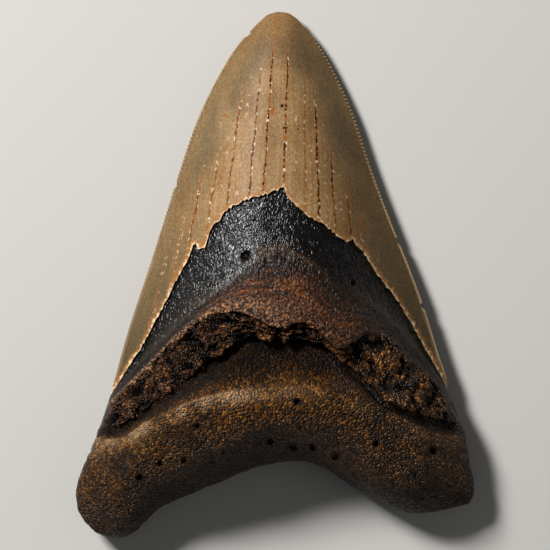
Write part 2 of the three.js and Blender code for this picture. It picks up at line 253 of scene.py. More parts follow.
def add_corners(x, y, row, share, face, run):
    """Adds corners to the mesh and returns their numbers. Face is 1 lingual, -1 labial, 0 both."""
    first = sum(block[0].size for block in blocks)
    blocks.append(np.broadcast_arrays(x, y, row, share, face, run))
    return first + np.arange(np.size(x)).reshape(np.shape(x))


tip = add_corners(np.array([tip_x]), np.array([tip_y]), 0, 0.5, 0, 0)
edges, feet = [], []
both_sides = [(0, left_x, left_y, left_run), (1, right_x, right_y, right_run)]
for side, side_x, side_y, side_run_mm in both_sides:
    down = side_y[1:]
    row = row_number_at(LINGUAL_ROWS, side, down)
    edges.append(np.concatenate([tip, add_corners(side_x(down), down, row, side, 0, side_run_mm[1:])]))
for shares, _, _, _ in bands:
    x, y = plan(LABIAL_ROWS, np.array([2.0]), shares)
    feet.append(add_corners(x[0], y[0], 6, shares, 0, FAR))
columns = {}
both_faces = [(1, LINGUAL_ROWS, LINGUAL_NUMBERS), (-1, LABIAL_ROWS, LABIAL_NUMBERS)]
for face, rows, middle_numbers in both_faces:
    columns[face] = [edges[0]]
    for (shares, ends, side, run), foot in zip(bands, feet):
        numbers = middle_numbers if ends is None else row_number_at(rows, side, ends)
        x, y = plan(rows, numbers, shares)
        labial_row = np.where(numbers <= 1, numbers, LABIAL_ROOT_ROW + LABIAL_ROOT_SPAN * (numbers - 1))
        row = numbers if face == 1 else labial_row
        corners = add_corners(x, y, row[:, None], shares, face, FAR if run is None else run[:, None])
        columns[face] += [np.concatenate([tip, corners[:, j], foot[j : j + 1]]) for j in range(len(shares))]
    columns[face].append(edges[1])
x, y, row, share, face, run = (np.concatenate([block[k].ravel() for block in blocks]) for k in range(6))
edge_gap = np.where(face == 0, 0, distance_to(outline, x, y))
plan_x, plan_y = x, y

# Heights of the two faces, from the sharp-edged crown to the round-edged root
root = ease(-y, -CROWN_END, -ROOT_START)
width_y = np.maximum(y, ROOT_START)
width = right_x(width_y) - left_x(width_y)
slope = right_x(width_y - 0.5) - left_x(width_y - 0.5) - width
reach = (1 - root) * FACE_REACH * width / np.hypot(1, slope) + root * ROOT_EDGE_RADIUS
rise = 1 - (1 - np.clip(edge_gap / np.maximum(reach, 0.1), 0, 1)) ** 2
edge = edge_height(y)
lobes = LOBE_DROP * ease(-y, 0, -ROOT_START) * (x / LOBE_REACH) ** 2
crest = np.maximum(crest_height(y) - lobes * root, edge)
lingual = edge + (crest - edge) * rise ** (CROWN_POWER - POWER_DROP * root)
inside = ease(edge_gap, 0, 4)
middle = 1 - FLANK_CALM * ease(np.abs(share - 0.5), 0.16, 0.34)
bare = ease(row, 1, 1.008) * (1 - ease(row, 1.5, 2.6))
lingual += (torn_relief(row) * middle - ENAMEL_THICKNESS * bare) * inside
curl = np.maximum(0, 1 - 1.35 * rise ** (1 - 0.3 * root)) ** 1.5
across = np.clip((x - left_x(y)) / np.maximum(right_x(y) - left_x(y), 0.1), 0, 1)
bared = labial_margin[2](across) - y
ledge = LABIAL_LEDGE * ease(bared, 0, 1) * (1 - ease(bared, 5, 16))
off_hollow = np.hypot(x / HOLLOW_HALF_WIDTH, (y - HOLLOW_Y) / HOLLOW_HALF_LENGTH)
hollow = LABIAL_HOLLOW * ease(1 - off_hollow, 0, 1) * ease(bared, 0, 8)
labial = edge * curl + (ledge + hollow) * rise
pit = np.zeros(len(x))
for pit_x, pit_y, radius in PITS:
    off_pit = np.hypot(x - pit_x, y - pit_y)
    pit = np.maximum(pit, (face == 1) * (1 - ease(off_pit, 0.6 * radius, 1.2 * radius)))
z = np.where(face == 1, lingual - PIT_DEPTH * pit, np.where(face == -1, labial, edge))
y = y + np.where(face == 1, undercut(row) * inside, 0)
for chip_x, chip_y, radius in CHIPS:
    off_x, off_y = x - chip_x, y - chip_y
    far = np.maximum(np.hypot(off_x, off_y), 1e-6)
    push = np.where(edge_gap < 2, np.maximum(radius / far, 1), 1)
    x, y = chip_x + off_x * push, chip_y + off_y * push
centre_x = (outline[:, 0].min() + outline[:, 0].max()) / 2
centre_y = (outline[:, 1].min() + outline[:, 1].max()) / 2


def strip_quads(left, right, up):
    """Quads between two columns with the same rows, from the tip down."""
    quads = np.stack([left[:-1], left[1:], right[1:], right[:-1]], 1)
    return quads if up else quads[:, ::-1]


def strip_zipped(left, right, left_ends, right_ends, up):
    """Triangles between two columns whose rows differ, matched by where the rows end."""
    i = j = 0
    triangles = []
    while i < len(left) - 1 or j < len(right) - 1:
        step_left = j == len(right) - 1 or (i < len(left) - 1 and left_ends[i + 1] > right_ends[j + 1])
        triangles.append((left[i], left[i + 1] if step_left else right[j + 1], right[j]))
        i, j = (i + 1, j) if step_left else (i, j + 1)
    return [t if up else t[::-1] for t in triangles]


faces = []
last_edge, first_right = len(EDGE_SHARES), len(EDGE_SHARES) + len(MIDDLE_SHARES)
for side_face, rows, numbers in both_faces:
    all_ends = row_ends(rows, np.concatenate([[0], numbers, [len(rows) - 1]]))
    for i in range(len(columns[side_face]) - 1):
        left, right = columns[side_face][i], columns[side_face][i + 1]
        if i == last_edge:
            faces += strip_zipped(left, right, left_y, all_ends[0], side_face == 1)
        elif i == first_right:
            faces += strip_zipped(left, right, all_ends[1], right_y, side_face == 1)
        else:
            faces += strip_quads(left, right, side_face == 1).tolist()
faces = [tuple(dict.fromkeys(f)) for f in faces]
faces = [f for f in faces if len(f) > 2]

tooth_mesh = bpy.data.meshes.new("tooth_form")
tooth_mesh.from_pydata((np.stack([x - centre_x, y - centre_y, z], 1) * MILLIMETRE).tolist(), [], faces)
tooth = bpy.data.objects.new("megalodon_tooth", tooth_mesh)
bpy.context.scene.collection.objects.link(tooth)


def store(name, values, kind="FLOAT", domain="POINT"):
    """Keeps a value for each corner or face of the tooth, for the trees and the materials."""
    data = tooth_mesh.attributes.new(name, kind, domain).data
    key = "vector" if kind == "FLOAT_VECTOR" else "value"
    data.foreach_set(key, np.asarray(values, np.int32 if kind == "INT" else np.float32).ravel())


loop_corner = np.empty(len(tooth_mesh.loops), np.int32)
tooth_mesh.loops.foreach_get("vertex_index", loop_corner)
loop_start = np.empty(len(faces), np.int32)
tooth_mesh.polygons.foreach_get("loop_start", loop_start)
corner_count = np.array([len(f) for f in faces])
face_row, face_share, face_x, face_y = (
    np.add.reduceat(value[loop_corner], loop_start) / corner_count for value in (row, share, plan_x, plan_y)
)
frayed = 0.09 * np.sin(1.3 * face_x + 0.7 * face_y) + 0.07 * np.sin(2.9 * face_x - 1.7 * face_y)
frayed *= ease(np.abs(face_share - 0.5), 0.2, 0.34)
ENAMEL, DENTINE, ROOT = 0, 1, 2
region = np.where(face_row < 1.006, ENAMEL, np.where(face_row < 3.02 + frayed, DENTINE, ROOT))
store("region", region, "INT", "FACE")

# A flat map of both faces side by side, through which the colours can be baked
LINGUAL_MAP_SHARE, MAP_BORDER = 0.6, 0.01
lifted = np.repeat(np.add.reduceat(face[loop_corner], loop_start) > 0, corner_count)
flat_u = (plan_x[loop_corner] - plan_x.min()) / np.ptp(plan_x) * (1 - 2 * MAP_BORDER) + MAP_BORDER
flat_v = (plan_y[loop_corner] - plan_y.min()) / np.ptp(plan_y) * (1 - 2 * MAP_BORDER) + MAP_BORDER
flat_u = np.where(lifted, flat_u * LINGUAL_MAP_SHARE, 1 - flat_u * (1 - LINGUAL_MAP_SHARE))
flat_map = tooth_mesh.uv_layers.new(name="OFBake")
flat_map.data.foreach_set("uv", np.stack([flat_u, flat_v], 1).ravel().astype(np.float32))

store("row_number", row)
store("share", share)
store("edge_gap", edge_gap)

# The crown's enamel. Fossil enamel is a hard, satin, khaki shell about 0.8 mm thick, split by hairline
# cracks that rust and soil have stained, and broken off along a jagged margin. Both cutting edges carry
# fine serrations, rounded beads about a millimetre apart, which are worn away at the tip.
SERRATION_PITCH, SERRATION_DEPTH, SERRATION_REACH, SMOOTH_TIP = 0.95, 0.52, 1.2, 6
left_slope = (left_x(y + 0.1) - left_x(y - 0.1)) / 0.2
right_slope = (right_x(y + 0.1) - right_x(y - 0.1)) / 0.2
on_left = share < 0.5
outward = np.stack([np.where(on_left, -1, 1), np.where(on_left, left_slope, -right_slope), 0 * x], 1)
outward /= np.linalg.norm(outward, axis=1)[:, None]
store("edge_out", outward, "FLOAT_VECTOR")
edge_y = y + edge_gap * outward[:, 1]
edge_run = np.where(
    on_left, np.interp(-edge_y, -left_y, left_run), np.interp(-edge_y, -right_y, right_run),
)
store("edge_run", edge_run)
store("serrated", (run < FAR) * ease(edge_run, SMOOTH_TIP, 2 * SMOOTH_TIP) * (1 - ease(row, 0.985, 1)))

# Cracks: x at the margin, y where the crack ends, and strength. They lean in towards a point far above
# the tip.
CRACKS = [
    (-23, 14, 0.3), (-20.8, 20, 0.4), (-18.5, 30, 0.7), (-15.1, 35, 0.65), (-13.3, 40, 0.35),
    (-11.4, 49, 0.75), (-9.2, 52, 0.4), (-6.4, 55, 0.9), (-3, 60, 1), (1.9, 60, 1), (4.6, 50, 0.35),
    (7.1, 53, 0.55), (8.7, 50, 0.4), (10.2, 48, 1), (12.1, 42, 0.35), (13.8, 36, 0.85), (15.5, 30, 0.3),
    (17.2, 26, 0.8), (19.7, 20, 0.6), (22.6, 8, 0.4),
]
LEAN_X, LEAN_Y, FOOT_Y = 6, 150, 19
crack_feet = np.array([-90] + [crack[0] for crack in CRACKS] + [90])
crack_tops = np.array([0] + [crack[1] for crack in CRACKS] + [0])
crack_weights = np.array([0] + [crack[2] for crack in CRACKS] + [0])
foot_x = LEAN_X + (plan_x - LEAN_X) * (LEAN_Y - FOOT_Y) / (LEAN_Y - plan_y) + np.where(face == -1, 1.7, 0)
foot_x += 0.1 * np.sin(0.45 * plan_y + 0.8 * plan_x) + 0.05 * np.sin(1.6 * plan_y + 2.1 * plan_x)
lane = np.interp(foot_x, crack_feet, np.arange(len(crack_feet)))
nearest = np.rint(lane).astype(int)
lane_gap = np.diff(crack_feet)[np.minimum(lane.astype(int), len(crack_feet) - 2)]
store("lane", lane)
store("lane_gap", lane_gap)
fading = ease(plan_y, crack_tops[nearest] - 12, crack_tops[nearest])
store("crack_weight", crack_weights[nearest] * (1 - fading))

# Rust spots and black specks: x, y, half width, half length and strength
RUST_SPOTS = [
    (-0.8, 39, 0.75, 1.5, 1), (-12.1, 38, 1, 0.4, 0.8), (-10.3, 50.5, 0.8, 0.6, 0.6),
    (2.6, 32.6, 0.9, 1.2, 0.6), (-33.5, 4, 1, 1.3, 0.4), (-15.6, 33.6, 0.3, 1, 0.6),
    (0.1, 59.5, 0.35, 4.5, 0.6), (-8.4, 53.2, 0.3, 0.9, 0.5),
]
SPECKS = [
    (1.6, 40.2, 0.5, 0.5, 1), (2.4, 39.2, 0.5, 0.4, 1), (2.3, 34.9, 0.7, 0.4, 1),
    (5.3, 34.6, 0.35, 0.35, 0.8),
]
margin_share = np.linspace(0, 1, 400)
margin_x = ENAMEL_MARGIN[0][0] + (ENAMEL_MARGIN[-1][0] - ENAMEL_MARGIN[0][0]) * margin_share
margin_line = np.stack([margin_x, jagged_y(margin_share)], 1)
labial_share = np.linspace(0, 1, 60)
labial_x = LABIAL_MARGIN[0][0] + (LABIAL_MARGIN[-1][0] - LABIAL_MARGIN[0][0]) * labial_share
labial_line = np.stack([labial_x, labial_margin[2](labial_share)], 1)
margin_gap = np.where(
    face == -1, distance_to(labial_line, plan_x, plan_y), distance_to(margin_line, plan_x, plan_y)
)
store("margin_gap", margin_gap)


def linear(colour):
    """An sRGB hex colour as linear numbers."""
    parts = [int(colour[i : i + 2], 16) / 255 for i in (1, 3, 5)]
    return tuple(p / 12.92 if p <= 0.04045 else ((p + 0.055) / 1.055) ** 2.4 for p in parts) + (1.0,)


# Short kinds of node: its type, its settings, the order of its inputs, and its output
SHORT_KINDS = {
    "blend": ("ShaderNodeMix", {"data_type": "RGBA"}, (0, 6, 7), 2),
    "soft_step": ("ShaderNodeMapRange", {"interpolation_type": "SMOOTHSTEP"}, (0, 1, 2, 3, 4), 0),
}


def add(tree, kind, inputs=(), out=0, stops=(), **settings):
    """Adds a node with its settings and links to a tree, and returns one of its outputs.

    The kind is a node's type, a short kind or, in capitals, an operation on numbers. The inputs are
    a list in the order of the node's sockets, or a dictionary by number or name.
    """
    order = range(len(inputs))
    if kind in SHORT_KINDS:
        kind, preset, order, out = SHORT_KINDS[kind]
        settings = {**preset, **settings}
    elif kind.isupper():
        kind, settings = "ShaderNodeMath", {"operation": kind}
    node = tree.nodes.new(kind)
    for name, value in settings.items():
        setattr(node, name, value)
    for key, value in inputs.items() if isinstance(inputs, dict) else zip(order, inputs):
        if isinstance(value, bpy.types.NodeSocket):
            tree.links.new(value, node.inputs[key])
        elif isinstance(value, str) and value.startswith("#"):
            node.inputs[key].default_value = linear(value)
        else:
            node.inputs[key].default_value = value
    for i, (place, colour) in enumerate(stops):
        stop = node.color_ramp.elements[i] if i < 2 else node.color_ramp.elements.new(place)
        stop.position, stop.color = place, linear(colour)
    return node.outputs[out] if node.outputs else node


def new_relief(name, sizes):
    """A geometry tree with named inputs for its sizes: the tree, and its inputs by name."""
    tree = bpy.data.node_groups.new(name, "GeometryNodeTree")
    tree.interface.new_socket("Geometry", in_out="INPUT", socket_type="NodeSocketGeometry")
    for label in sizes:
        tree.interface.new_socket(label, in_out="INPUT", socket_type="NodeSocketFloat")
    tree.interface.new_socket("Material", in_out="INPUT", socket_type="NodeSocketMaterial")
    tree.interface.new_socket("Geometry", in_out="OUTPUT", socket_type="NodeSocketGeometry")
    entry = tree.nodes.new("NodeGroupInput")
    return tree, entry.outputs


def close_relief(tree, entry, geometry, region):
    """Ends a tree: real geometry, with the tree's material on one region of the tooth."""
    real = add(tree, "GeometryNodeRealizeInstances", [geometry])
    region_and_shelf_glare = add(tree, "GeometryNodeInputNamedAttribute", {"Name": "region"}, data_type="INT")
    here = add(tree, "FunctionNodeCompare", {2: region_and_shelf_glare, 3: region}, data_type="INT", operation="EQUAL")
    dressed = add(tree, "GeometryNodeSetMaterial", [real, here, entry["Material"]])
    add(tree, "NodeGroupOutput", [dressed])


def put_on(tree, sizes, material):
    """Puts a tree on the tooth as a modifier, with its inputs set by their identifiers."""
    modifier = tooth.modifiers.new(tree.name, "NODES")
    modifier.node_group = tree
    for item in tree.interface.items_tree:
        if item.in_out == "INPUT" and item.name in sizes:
            modifier[item.identifier] = float(sizes[item.name])
        elif item.in_out == "INPUT" and item.name == "Material":
            modifier[item.identifier] = material


def new_material(name):
    """A material with an empty tree: the material, its tree, and places on the tooth in mm."""
    material = bpy.data.materials.new(name)
    material.use_nodes = True
    tree = material.node_tree
    tree.nodes.clear()
    place = add(tree, "ShaderNodeTexCoord", out="Object")
    mm = add(tree, "ShaderNodeVectorMath", {0: place, 3: 1 / MILLIMETRE}, operation="SCALE")
    return material, tree, mm


serration_sizes = {"Pitch": SERRATION_PITCH, "Depth": SERRATION_DEPTH, "Reach": SERRATION_REACH}
tree, entry = new_relief("serrations", serration_sizes)
along_edge = add(tree, "GeometryNodeInputNamedAttribute", {"Name": "edge_run"})
from_edge = add(tree, "GeometryNodeInputNamedAttribute", {"Name": "edge_gap"})
serrated = add(tree, "GeometryNodeInputNamedAttribute", {"Name": "serrated"})
out_of_edge = add(tree, "GeometryNodeInputNamedAttribute", {"Name": "edge_out"}, data_type="FLOAT_VECTOR")
count = add(tree, "DIVIDE", [along_edge, entry["Pitch"]])
angle = add(tree, "MULTIPLY", [count, math.pi])
wave = add(tree, "SINE", [angle])
bead = add(tree, "ABSOLUTE", [wave])
bead = add(tree, "SUBTRACT", [bead, 0.6])
bead = add(tree, "MULTIPLY", [bead, serrated])
reach = {0: from_edge, 1: 0.0, 2: entry["Reach"], 3: 1.0, 4: 0.0}
near = add(tree, "soft_step", reach)
bead = add(tree, "MULTIPLY", [bead, near])
stored = {0: entry["Geometry"], "Name": "bead", "Value": bead}
beaded = add(tree, "GeometryNodeStoreNamedAttribute", stored, data_type="FLOAT", domain="POINT")
depth = add(tree, "MULTIPLY", [bead, entry["Depth"]])
depth = add(tree, "MULTIPLY", [depth, MILLIMETRE])
offset = add(tree, "ShaderNodeVectorMath", {0: out_of_edge, 3: depth}, operation="SCALE")
scalloped = add(tree, "GeometryNodeSetPosition", {0: beaded, 3: offset})
close_relief(tree, entry, scalloped, ENAMEL)

# Fossil enamel: khaki with olive bands inside the edges, fine upright fibres, rusty cracks with dark
# cores and cream flakes, and a chipped orange and cream rim along the margin, partly its own colour and
# partly painted highlight on the lit broken edge. It is darker near the edges and towards the crown base,
# with painted shade on its right side, away from the key light, and painted highlight and shade on the
# serration beads. Satin gloss, from a polished but weathered mineral surface.
enamel, nodes, mm = new_material("fossil_enamel")
x_mm = add(nodes, "ShaderNodeSeparateXYZ", [mm], out="X")
y_mm = add(nodes, "ShaderNodeSeparateXYZ", [mm], out="Y")
blotch = add(nodes, "ShaderNodeTexNoise", {"Vector": mm, "Scale": 1 / 13, "Detail": 4.0})
tone = add(
    nodes, "ShaderNodeValToRGB", [blotch], stops=[(0.34, "#90724d"), (0.66, "#b2946b"), (0.5, "#a3855d")],
)
upright = add(nodes, "ShaderNodeMapping", {0: mm, "Scale": (2.1, 0.06, 0.4)})
fibre = add(nodes, "ShaderNodeTexNoise", {"Vector": upright, "Scale": 1.0, "Detail": 3.0})
fibre_tone = add(nodes, "ShaderNodeValToRGB", [fibre], stops=[(0.32, "#cdbfae"), (0.62, "#ffffff")])
tone = add(nodes, "blend", [0.4, tone, fibre_tone], blend_type="MULTIPLY")
thread = add(nodes, "ShaderNodeMapping", {0: mm, "Scale": (1.0, 0.02, 0.2)})
thread = add(nodes, "ShaderNodeTexNoise", {"Vector": thread, "Scale": 1.3, "Detail": 1.0})
tone = add(nodes, "blend", [add(nodes, "soft_step", [thread, 0.64, 0.76, 0.0, 0.4]), tone, "#8c5c2e"])
from_edge = add(nodes, "ShaderNodeAttribute", out="Fac", attribute_name="edge_gap")
smudge = add(nodes, "ShaderNodeTexNoise", {"Vector": mm, "Scale": 1 / 11, "Detail": 4.0})
olive = add(
    nodes, "MULTIPLY",
    [
        add(nodes, "soft_step", [from_edge, 0.8, 3.5]),
        add(nodes, "soft_step", [from_edge, 5.0, 11.0, 0.7, 0.0]),
    ],
)
olive = add(nodes, "MULTIPLY", [olive, add(nodes, "soft_step", [smudge, 0.36, 0.62])])
tone = add(nodes, "blend", [olive, tone, "#6a5e48"])
# Darker near the edges and towards the crown base, and painted shade that darkens the right side, away from
# the key light.
tone = add(nodes, "blend", [add(nodes, "soft_step", [from_edge, 0.0, 12.0, 0.55, 0.0]), tone, "#655337"])
tone = add(nodes, "blend", [add(nodes, "soft_step", [x_mm, 8.0, 34.0, 0.0, 0.7]), tone, "#5e4a30"])
tone = add(nodes, "blend", [add(nodes, "soft_step", [y_mm, 50.0, 62.0, 0.0, 0.4]), tone, "#94693a"])
tone = add(nodes, "blend", [add(nodes, "soft_step", [y_mm, -24.0, 16.0, 0.75, 0.0]), tone, "#4f4530"])
sand = add(nodes, "ShaderNodeTexNoise", {"Vector": mm, "Scale": 1.9, "Detail": 1.0})
sand_tone = add(nodes, "ShaderNodeValToRGB", [sand], stops=[(0.36, "#d2c4b0"), (0.64, "#ffffff")])
tone = add(nodes, "blend", [0.75, tone, sand_tone], blend_type="MULTIPLY")
bead = add(nodes, "ShaderNodeAttribute", out="Fac", attribute_name="bead")
# Painted highlight on the crests of the serration beads and painted shade in the notches between them.
tone = add(nodes, "blend", [add(nodes, "soft_step", [bead, 0.05, 0.35, 0.0, 0.7]), tone, "#cdb288"])
tone = add(nodes, "blend", [add(nodes, "soft_step", [bead, -0.4, -0.02, 0.9, 0.0]), tone, "#3a2a16"])
lane = add(nodes, "ShaderNodeAttribute", out="Fac", attribute_name="lane")
lane_gap = add(nodes, "ShaderNodeAttribute", out="Fac", attribute_name="lane_gap")
crack_weight = add(nodes, "ShaderNodeAttribute", out="Fac", attribute_name="crack_weight")
off_crack = add(nodes, "PINGPONG", [lane, 0.5])
off_crack = add(nodes, "MULTIPLY", [off_crack, lane_gap])
grit = add(nodes, "ShaderNodeTexNoise", {"Vector": mm, "Scale": 1.0, "Detail": 4.0})
ragged = add(nodes, "MULTIPLY_ADD", [grit, 1.3, -0.65])
off_ragged = add(nodes, "ADD", [off_crack, ragged])
stain = add(nodes, "MULTIPLY", [add(nodes, "soft_step", [off_ragged, 0.1, 0.62, 1.0, 0.0]), crack_weight])
flat = add(nodes, "ShaderNodeVectorMath", [mm, (1.0, 1.0, 0.0)], operation="MULTIPLY")
z_mm = add(nodes, "ShaderNodeSeparateXYZ", [mm], out="Z")


def spots(marks):
    """How much of the lingual face's spots there is: the strongest of them at each point."""
    most = 0.0
    for spot_x, spot_y, wide, long, strength in marks:
        middle = (spot_x - centre_x, spot_y - centre_y, 0.0)
        off = add(nodes, "ShaderNodeVectorMath", [flat, middle], operation="SUBTRACT")
        off = add(nodes, "ShaderNodeVectorMath", [off, (1 / wide, 1 / long, 0.0)], operation="MULTIPLY")
        off = add(nodes, "ShaderNodeVectorMath", [off], out="Value", operation="LENGTH")
        off = add(nodes, "ADD", [off, ragged])
        here = add(nodes, "soft_step", [off, 0.3, 1.1, strength, 0.0])
        most = add(nodes, "MAXIMUM", [here, most])
    return add(nodes, "MULTIPLY", [most, add(nodes, "soft_step", [z_mm, 2.0, 3.5])])


stain = add(nodes, "MAXIMUM", [stain, spots(RUST_SPOTS)])
tone = add(nodes, "blend", [stain, tone, "#96591e"])
flecks = add(nodes, "ShaderNodeTexNoise", {"Vector": mm, "Scale": 0.9, "Detail": 3.0})
flake = add(
    nodes, "MULTIPLY",
    [
        add(nodes, "soft_step", [flecks, 0.57, 0.64]),
        add(nodes, "soft_step", [off_crack, 0.25, 0.55, 1.0, 0.0]),
    ],
)
flake = add(nodes, "MULTIPLY", [flake, crack_weight])
tone = add(nodes, "blend", [flake, tone, "#e8d3ae"])
core = add(
    nodes, "MULTIPLY",
    [
        add(nodes, "soft_step", [off_ragged, 0.02, 0.21, 0.95, 0.0]),
        add(nodes, "soft_step", [crack_weight, 0.35, 0.95]),
    ],
)
core = add(nodes, "MAXIMUM", [core, spots(SPECKS)])
tone = add(nodes, "blend", [core, tone, "#1e0f05"])
margin_gap = add(nodes, "ShaderNodeAttribute", out="Fac", attribute_name="margin_gap")
chipped = add(nodes, "MULTIPLY_ADD", [grit, 2.4, -1.2])
chipped = add(nodes, "ADD", [margin_gap, chipped])
# The chipped margin: orange, and a pale cream rim that is partly the broken edge's own colour and partly
# painted highlight on it.
tone = add(nodes, "blend", [add(nodes, "soft_step", [chipped, 0.4, 1.2, 0.8, 0.0]), tone, "#a06a3a"])
rim_colour_and_highlight = add(
    nodes, "MULTIPLY",
    [
        add(nodes, "soft_step", [chipped, 0.05, 0.45, 1.0, 0.0]),
        add(nodes, "soft_step", [flecks, 0.36, 0.58, 0.25, 1.0]),
    ],
)
tone = add(nodes, "blend", [rim_colour_and_highlight, tone, "#dcc39c"])
height = add(nodes, "MULTIPLY_ADD", [core, -1.0, fibre])
bump = add(nodes, "ShaderNodeBump", {"Strength": 0.3, "Distance": 0.0002, "Height": height})
gloss = add(nodes, "ShaderNodeMapRange", [grit, 0.3, 0.7, 0.4, 0.52])
surface = {"Base Color": tone, "Roughness": gloss, "IOR": 1.6, "Specular IOR Level": 0.1, "Normal": bump}
shader = add(nodes, "ShaderNodeBsdfPrincipled", surface)
add(nodes, "ShaderNodeOutputMaterial", [shader])
put_on(tree, serration_sizes, enamel)

# The dentine band, bared where the enamel has broken off. It is black, dense and glossy, with fine
# upright wrinkles, and turns to rusty brown in the middle above the torn lip.
wrinkled = (face == 1) * ease(row, 1, 1.06) * (1 - ease(row, 2.3, 2.95)) * ease(edge_gap, 0.5, 3)
store("wrinkled", wrinkled)
wrinkle_sizes = {"Spacing": 1.1, "Depth": 0.2}
tree, entry = new_relief("dentine_wrinkles", wrinkle_sizes)
position = add(tree, "GeometryNodeInputPosition")
mm = add(tree, "ShaderNodeVectorMath", {0: position, 3: 1 / MILLIMETRE}, operation="SCALE")
mm = add(tree, "ShaderNodeVectorMath", [mm, (1.0, 0.3, 1.0)], operation="MULTIPLY")
fineness = add(tree, "DIVIDE", [1.0, entry["Spacing"]])
wrinkle = add(
    tree, "ShaderNodeTexNoise", {"Vector": mm, "Scale": fineness, "Detail": 2.0, "Distortion": 0.4},
)
wrinkle = add(tree, "SUBTRACT", [wrinkle, 0.5])
mask = add(tree, "GeometryNodeInputNamedAttribute", {"Name": "wrinkled"})
wrinkle = add(tree, "MULTIPLY", [wrinkle, mask])
wrinkle = add(tree, "MULTIPLY", [wrinkle, entry["Depth"]])
wrinkle = add(tree, "MULTIPLY", [wrinkle, 2 * MILLIMETRE])
normal = add(tree, "GeometryNodeInputNormal")
offset = add(tree, "ShaderNodeVectorMath", {0: normal, 3: wrinkle}, operation="SCALE")
creased = add(tree, "GeometryNodeSetPosition", {0: entry["Geometry"], 3: offset})
close_relief(tree, entry, creased, DENTINE)

# Black dentine: dense, almost black and polished by wear, so it shows small sharp lights on its wrinkles.
# Towards the lip it is dull, rusty and layered along the rows, with crumbs of about half a millimetre.
dentine, nodes, mm = new_material("black_dentine")
row_number = add(nodes, "ShaderNodeAttribute", out="Fac", attribute_name="row_number")
across = add(nodes, "ShaderNodeAttribute", out="Fac", attribute_name="share")
CRUMBS_PER_MM = 1.7
upright = add(nodes, "ShaderNodeMapping", {0: mm, "Scale": (1.5, 0.45, 1.0)})
streak = add(
    nodes, "ShaderNodeTexNoise", {"Vector": upright, "Scale": 1.0, "Detail": 3.0, "Distortion": 0.5},
)
grit = add(nodes, "ShaderNodeTexNoise", {"Vector": mm, "Scale": 1.5, "Detail": 3.0, "Roughness": 0.6})
broad = add(nodes, "ShaderNodeTexNoise", {"Vector": mm, "Scale": 1 / 4, "Detail": 3.0})
shift = add(nodes, "MULTIPLY_ADD", [streak, 0.3, -0.15])
shift = add(nodes, "MULTIPLY_ADD", [broad, 0.5, shift])
down = add(nodes, "ADD", [row_number, shift])
down = add(nodes, "ShaderNodeMapRange", [down, 1.25, 3.25])
middle_tone = add(
    nodes, "ShaderNodeValToRGB", [down],
    stops=[
        (0.0, "#0d0b0a"), (1.0, "#8a5e34"), (0.45, "#100d0b"), (0.51, "#45331f"), (0.58, "#221509"),
        (0.64, "#6e4a20"), (0.78, "#9c6c30"), (0.9, "#8c602c"),
    ],
)
flank_tone = add(
    nodes, "ShaderNodeValToRGB", [down],
    stops=[
        (0.0, "#0d0b0a"), (1.0, "#4a3219"), (0.36, "#100d0b"), (0.48, "#2b231a"), (0.56, "#3d2f1e"),
        (0.64, "#15100c"), (0.8, "#463120"), (0.9, "#22170d"),
    ],
)
off_middle = add(nodes, "SUBTRACT", [across, 0.5])
off_middle = add(nodes, "ABSOLUTE", [off_middle])
flank = add(nodes, "soft_step", [off_middle, 0.16, 0.3])
tone = add(nodes, "blend", [flank, middle_tone, flank_tone])
grain_tone = add(
    nodes, "ShaderNodeValToRGB", [grit], stops=[(0.36, "#40301f"), (0.66, "#fff3e0"), (0.5, "#b39a7c")],
)
tone = add(
    nodes, "blend", [add(nodes, "soft_step", [down, 0.45, 0.65, 0.1, 0.9]), tone, grain_tone],
    blend_type="MULTIPLY",
)
LAYER_ACROSS, LAYER_DOWN = 8.0, 11.0  # patches over the width, and layers from row to row
arc_x = add(nodes, "MULTIPLY", [across, LAYER_ACROSS])
arc_y = add(nodes, "MULTIPLY", [row_number, LAYER_DOWN])
arc = add(nodes, "ShaderNodeCombineXYZ", [arc_x, arc_y])
layer = add(nodes, "ShaderNodeTexNoise", {"Vector": arc, "Scale": 1.0, "Detail": 3.0, "Distortion": 0.3})
layer_tone = add(
    nodes, "ShaderNodeValToRGB", [layer], stops=[(0.36, "#4c3a28"), (0.62, "#fff0dc"), (0.5, "#b9a287")],
)
tone = add(
    nodes, "blend", [add(nodes, "soft_step", [down, 0.4, 0.55, 0.0, 0.85]), tone, layer_tone],
    blend_type="MULTIPLY",
)
# Painted highlight on the lit roll above the torn lip, strongest on the left, towards the key light.
painted_lip_highlight = add(
    nodes, "MULTIPLY",
    [add(nodes, "soft_step", [row_number, 2.55, 2.8]), add(nodes, "soft_step", [grit, 0.42, 0.6])],
)
painted_lip_highlight = add(nodes, "MULTIPLY", [painted_lip_highlight, add(nodes, "soft_step", [across, 0.3, 0.62, 0.9, 0.15])])
tone = add(nodes, "blend", [painted_lip_highlight, tone, "#c2946a"])
bark = add(nodes, "ShaderNodeMapping", {0: mm, "Scale": (1.45, 0.75, 1.0)})
bark = add(nodes, "ShaderNodeTexNoise", {"Vector": bark, "Scale": 1.0, "Detail": 0.0, "Distortion": 1.8})
cells = add(nodes, "ShaderNodeTexVoronoi", {"Vector": mm, "Scale": CRUMBS_PER_MM}, out="Color")
cell = add(nodes, "ShaderNodeSeparateColor", [cells])
pebble = add(nodes, "ShaderNodeTexNoise", {"Vector": mm, "Scale": 1.25, "Detail": 0.0, "Distortion": 1.0})
crumbly = add(nodes, "MULTIPLY_ADD", [pebble, 3.2, layer])
cell_tone = add(
    nodes, "ShaderNodeValToRGB", [cell], stops=[(0.0, "#3a2a1c"), (1.0, "#ffe8c8"), (0.5, "#a89078")],
)
tone = add(
    nodes, "blend", [add(nodes, "soft_step", [down, 0.5, 0.65, 0.0, 0.7]), tone, cell_tone],
    blend_type="MULTIPLY",
)
